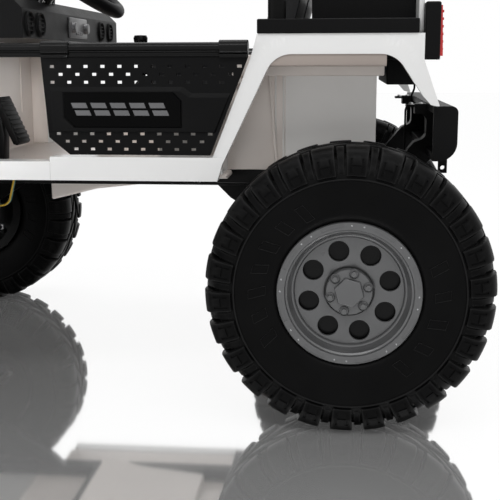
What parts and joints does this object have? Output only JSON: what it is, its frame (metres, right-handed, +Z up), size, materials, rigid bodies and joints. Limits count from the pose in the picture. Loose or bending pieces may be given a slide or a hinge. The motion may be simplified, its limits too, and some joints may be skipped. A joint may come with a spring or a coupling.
{
  "type": "ride-on lifted off-road 4x4",
  "caption": "Battery ride-on off-roader for children: open cabin, tube doors with mesh panels, lugged tyres, steered front wheels and hinged doors.",
  "frame": {"origin": "on the ground below the middle of the vehicle", "axes": "+X forward, +Y to the driver's left, +Z up"},
  "size_m": [1.234, 0.87, 0.85],
  "materials": {
    "white_body": "glossy moulded plastic",
    "black_plastic": "textured moulded plastic",
    "black_steel": "satin black powder coat",
    "grey_rim": "satin grey paint",
    "tyre_rubber": "moulded tread",
    "dark_grey_plastic": "fine grain",
    "seat_black": "padded seat skin",
    "steel": "zinc plated",
    "clear_pane": "clear sheet",
    "lamp_clear": "clear lens",
    "lamp_red": "red lens",
    "battery_grey": "plain case"
  },
  "bodies": {
    "vehicle": {"battery": "battery_grey", "cargo_bed": "black_plastic", "chassis_frame": "black_steel", "console": "dark_grey_plastic", "cowl": "black_plastic", "dashboard": "dark_grey_plastic", "door_hinge_left": "black_steel", "door_hinge_right": "black_steel", "floor_tub": "white_body", "front_axle": "black_steel", "front_bumper": "black_plastic", "front_flare_left": "white_body", "front_flare_right": "white_body", "front_lead_inner": "black_plastic", "front_lead_outer": "black_plastic", "front_shell": "white_body", "front_suspension": "black_steel", "grille": "black_plastic", "headlamp_left": "lamp_clear", "headlamp_right": "lamp_clear", "hood": "white_body", "pedal": "black_plastic", "rear_axle": "black_steel", "rear_bumper": "black_plastic", "rear_flare_left": "white_body", "rear_flare_right": "white_body", "rear_lead": "black_plastic", "rear_suspension": "black_steel", "roll_cage": "black_steel", "seat_back_left": "seat_black", "seat_back_right": "seat_black", "seat_box": "white_body", "seat_cushion_left": "seat_black", "seat_cushion_right": "seat_black", "steering_column": "black_steel", "tail_lamp_left": "black_plastic", "tail_lamp_right": "black_plastic", "tail_lens_left": "lamp_red", "tail_lens_right": "lamp_red", "tail_panel": "white_body", "windscreen_frame": "black_plastic", "windscreen_pane": "clear_pane"},
    "knuckle_body_left": {"knuckle_left": "black_steel"},
    "knuckle_body_right": {"knuckle_right": "black_steel"},
    "wheel_front_left": {"tyre_front_left": "tyre_rubber", "rim_front_left": "grey_rim"},
    "wheel_rear_left": {"tyre_rear_left": "tyre_rubber", "rim_rear_left": "grey_rim"},
    "wheel_front_right": {"tyre_front_right": "tyre_rubber", "rim_front_right": "grey_rim"},
    "wheel_rear_right": {"tyre_rear_right": "tyre_rubber", "rim_rear_right": "grey_rim"},
    "steering_wheel_body": {"steering_wheel": "black_plastic"},
    "tie_rod_body": {"tie_rod": "steel"},
    "door_left": {"door_bar_left": "black_steel", "door_mesh_left": "black_plastic", "door_plate_left": "black_plastic"},
    "door_right": {"door_bar_right": "black_steel", "door_mesh_right": "black_plastic", "door_plate_right": "black_plastic"}
  },
  "joints": [
    {"name": "steer_left", "type": "hinge", "parent": "vehicle", "child": "knuckle_body_left", "pos_m": [0.377, 0.3, 0.2], "axis": [0, 0, 1], "range_deg": [-22.5, 22.5]},
    {"name": "steer_right", "type": "hinge", "parent": "vehicle", "child": "knuckle_body_right", "pos_m": [0.377, -0.3, 0.2], "axis": [0, 0, 1], "range_deg": [-22.5, 22.5]},
    {"name": "roll_front_left", "type": "hinge", "parent": "knuckle_body_left", "child": "wheel_front_left", "pos_m": [0.377, 0.36, 0.2], "axis": [0, 1, 0], "continuous": true},
    {"name": "roll_rear_left", "type": "hinge", "parent": "vehicle", "child": "wheel_rear_left", "pos_m": [-0.417, 0.36, 0.2], "axis": [0, 1, 0], "continuous": true},
    {"name": "roll_front_right", "type": "hinge", "parent": "knuckle_body_right", "child": "wheel_front_right", "pos_m": [0.377, -0.36, 0.2], "axis": [0, 1, 0], "continuous": true},
    {"name": "roll_rear_right", "type": "hinge", "parent": "vehicle", "child": "wheel_rear_right", "pos_m": [-0.417, -0.36, 0.2], "axis": [0, 1, 0], "continuous": true},
    {"name": "steering_wheel_turn", "type": "hinge", "parent": "vehicle", "child": "steering_wheel_body", "pos_m": [0.052, 0.125, 0.652], "axis": [-0.5736, 0, 0.8192], "range_deg": [-75, 75]},
    {"name": "tie_rod_slide", "type": "slide", "parent": "vehicle", "child": "tie_rod_body", "axis": [0, 1, 0], "range_m": [-0.0205, 0.0205]},
    {"name": "door_open_left", "type": "hinge", "parent": "vehicle", "child": "door_left", "pos_m": [0.222, 0.337, 0.529], "axis": [0, 0, -1], "range_deg": [0, 60]},
    {"name": "door_open_right", "type": "hinge", "parent": "vehicle", "child": "door_right", "pos_m": [0.222, -0.337, 0.529], "axis": [0, 0, 1], "range_deg": [0, 60]}
  ],
  "couplings": [
    {"joint": "steer_right", "follows": "steer_left", "ratio": 1},
    {"joint": "steering_wheel_turn", "follows": "steer_left", "ratio": 3.3333},
    {"joint": "tie_rod_slide", "follows": "steer_left", "m_per_rad": -0.0497}
  ]
}
